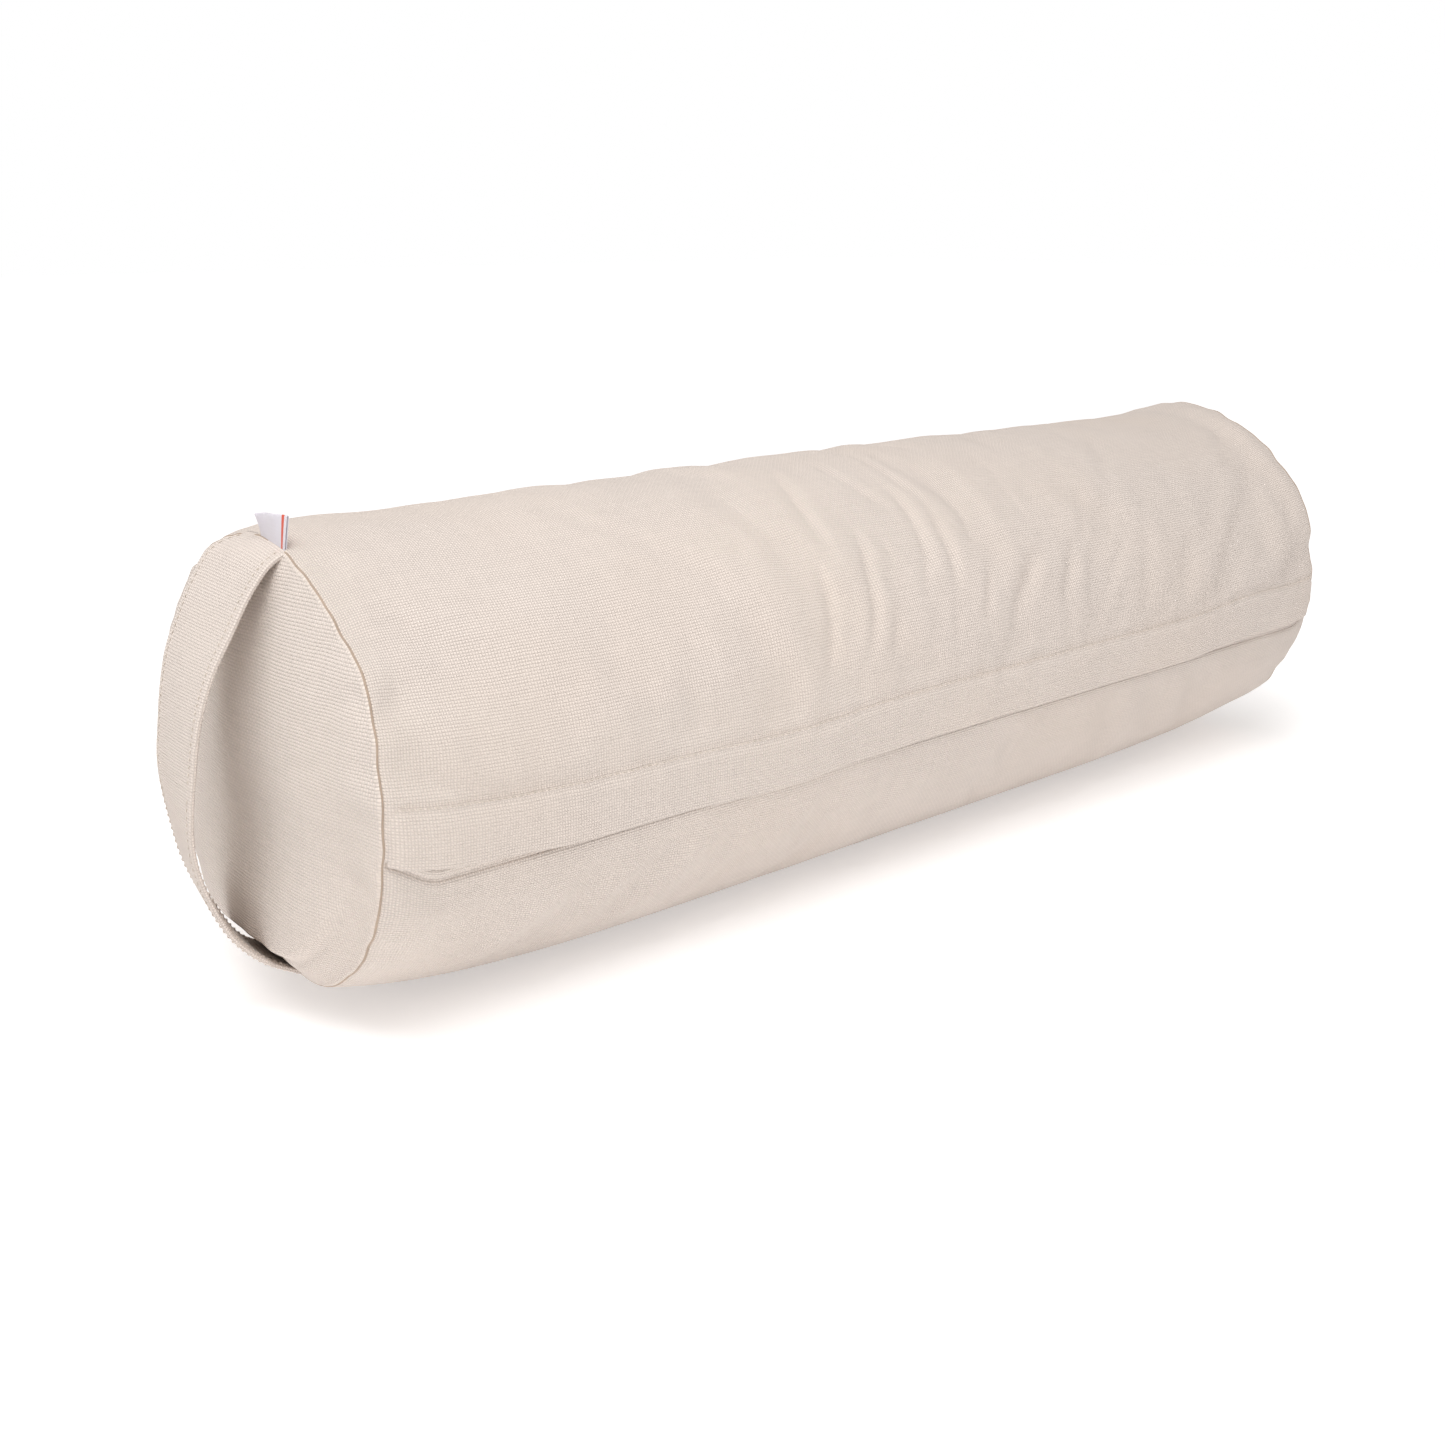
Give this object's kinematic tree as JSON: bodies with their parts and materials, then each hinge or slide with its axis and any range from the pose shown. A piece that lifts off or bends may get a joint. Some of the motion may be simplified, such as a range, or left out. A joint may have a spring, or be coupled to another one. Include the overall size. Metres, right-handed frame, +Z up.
{
  "type": "bolster pillow",
  "caption": "Round bolster pillow in a zipped canvas cover, with a lapped zip flap along its side and a bowed carry strap on one end.",
  "frame": {"origin": "middle of the flat face that the bolster rests on", "axes": "+X along the body from the strap end to the far end, +Z up, the zip side facing -Y"},
  "size_m": [0.7054, 0.2157, 0.217],
  "materials": {
    "canvas": "plain weave undyed cotton canvas",
    "strap_canvas": "doubled and edge-stitched cotton canvas",
    "zip_tape": "woven polyester tape",
    "zip_coil": "moulded nylon coil",
    "zip_metal": "enamelled zinc casting",
    "liner_cloth": "thin plain cotton",
    "filling": "loose plant fibre",
    "label_satin": "satin ribbon"
  },
  "bodies": {
    "root": {"body_panel": "canvas", "handle_end_disc": "canvas", "far_end_disc": "canvas", "zip_tape_upper": "zip_tape", "zip_tape_lower": "zip_tape", "zip_coil_upper": "zip_coil", "zip_coil_lower": "zip_coil", "zip_top_stops": "zip_metal", "zip_bottom_stop": "zip_metal", "liner_tube": "liner_cloth", "liner_handle_end_disc": "liner_cloth", "liner_far_end_disc": "liner_cloth", "filling": "filling", "handle_sewn_end_top": "strap_canvas", "handle_sewn_end_bottom": "strap_canvas", "side_label": "label_satin"},
    "flap": {"zip_flap": "canvas"},
    "slider": {"zip_slider": "zip_metal"},
    "pull_tab": {"zip_pull_tab": "zip_metal"},
    "handle": {"handle_strap": "strap_canvas"}
  },
  "joints": [
    {"name": "flap_lift", "type": "hinge", "parent": "root", "child": "flap", "pos_m": [0, -0.10701, 0.10724], "axis": [-1, 0, 0], "range_deg": [0, 100]},
    {"name": "zip_slide", "type": "slide", "parent": "root", "child": "slider", "axis": [-1, 0, 0], "range_m": [0, 0.587]},
    {"name": "pull_tab_lift", "type": "hinge", "parent": "slider", "child": "pull_tab", "pos_m": [0.295, -0.10557, 0.09129], "axis": [0, -0.0747, 0.9972], "range_deg": [0, 65]},
    {"name": "handle_swing", "type": "hinge", "parent": "root", "child": "handle", "pos_m": [-0.3262, -0.005, 0.103], "axis": [0, 0, 1], "range_deg": [-28, 28]}
  ],
  "couplings": [
    {"joint": "pull_tab_lift", "follows": "flap_lift", "ratio": 0.65}
  ]
}
